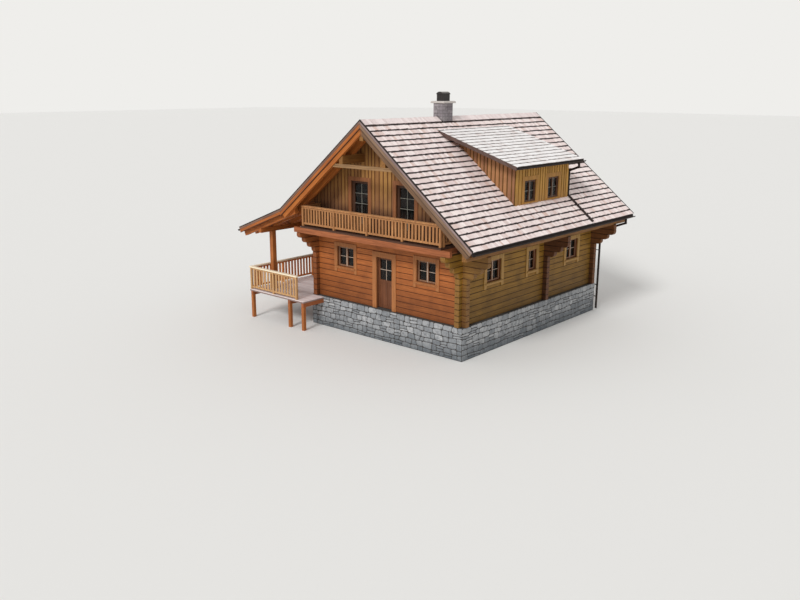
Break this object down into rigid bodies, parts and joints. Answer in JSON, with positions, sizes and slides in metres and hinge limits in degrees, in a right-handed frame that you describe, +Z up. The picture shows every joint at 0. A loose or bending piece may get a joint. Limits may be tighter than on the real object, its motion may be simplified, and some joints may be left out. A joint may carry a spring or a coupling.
{
  "type": "alpine chalet",
  "caption": "Log chalet on a stone plinth: shingled gable roof kicked out over a railed terrace, front balcony on corbels, shed dormer, chimney and a hinged front door.",
  "frame": {"origin": "on the ground under the middle of the front log wall's outer face, at the lowest ground level", "axes": "+X to the right along the front gable, +Y back along the ridge, +Z up; the front gable faces -Y"},
  "size_m": [13.56, 12.65, 10.2385],
  "materials": {
    "plinth_stone": "rough rubble stone in mortar",
    "floor_boards": "planed boards",
    "squared_logs": "squared logs, oiled orange-brown",
    "wall_boards": "vertical boards and battens, oiled",
    "wood_shingles": "weathered wooden shingles, pinkish grey",
    "roof_timber": "planed timber, oiled",
    "barge_wood": "planed boards, weathered",
    "dormer_boards": "boards and battens, honey brown",
    "chimney_masonry": "grey block masonry",
    "cap_stone": "cast concrete slab",
    "balcony_wood": "planed boards, oiled",
    "deck_boards": "weathered deck boards",
    "terrace_wood": "planed boards, pale",
    "window_wood": "planed trim, light orange-brown",
    "door_wood": "panelled wood",
    "dark_sheet_metal": "dark folded sheet",
    "dark_iron": "dark iron",
    "window_glass": "clear glass, dark from outside"
  },
  "bodies": {
    "house": {"stone_plinth": "plinth_stone", "ground_floor": "floor_boards", "log_wall_front_left": "squared_logs", "log_wall_front_right": "squared_logs", "log_wall_front_over": "squared_logs", "log_wall_right": "squared_logs", "log_wall_left": "squared_logs", "log_wall_back": "squared_logs", "log_wall_cross": "squared_logs", "loft_floor": "floor_boards", "gable_front": "wall_boards", "gable_back": "wall_boards", "knee_walls": "wall_boards", "roof_right": "wood_shingles", "roof_left": "wood_shingles", "roof_kick": "wood_shingles", "ridge_cap": "wood_shingles", "rafters": "roof_timber", "porch_rafters": "roof_timber", "purlins": "roof_timber", "barge_boards": "barge_wood", "tie_beams": "roof_timber", "dormer_front": "dormer_boards", "dormer_cheeks": "dormer_boards", "dormer_roof": "wood_shingles", "chimney_stack": "chimney_masonry", "chimney_flashing": "dark_sheet_metal", "chimney_cap": "cap_stone", "chimney_cowl": "dark_sheet_metal", "balcony_beam": "roof_timber", "balcony_joists": "roof_timber", "balcony_floor": "balcony_wood", "balcony_rail_front": "balcony_wood", "balcony_rail_sides": "balcony_wood", "terrace_deck": "deck_boards", "terrace_beams": "roof_timber", "terrace_posts": "roof_timber", "terrace_rails": "terrace_wood", "porch_posts": "roof_timber", "lower_window_frames": "window_wood", "lower_window_glass": "window_glass", "upper_window_frames": "window_wood", "upper_window_glass": "window_glass", "door_frame": "window_wood", "gutters": "dark_sheet_metal", "downpipes": "dark_sheet_metal"},
    "front_door": {"door_leaf": "door_wood", "door_glass": "window_glass", "door_handle": "dark_iron"}
  },
  "joints": [
    {"name": "front_door_hinge", "type": "hinge", "parent": "house", "child": "front_door", "pos_m": [-0.426, 0.19, 1.35], "axis": [0, 0, 1], "range_deg": [0, 90]}
  ]
}
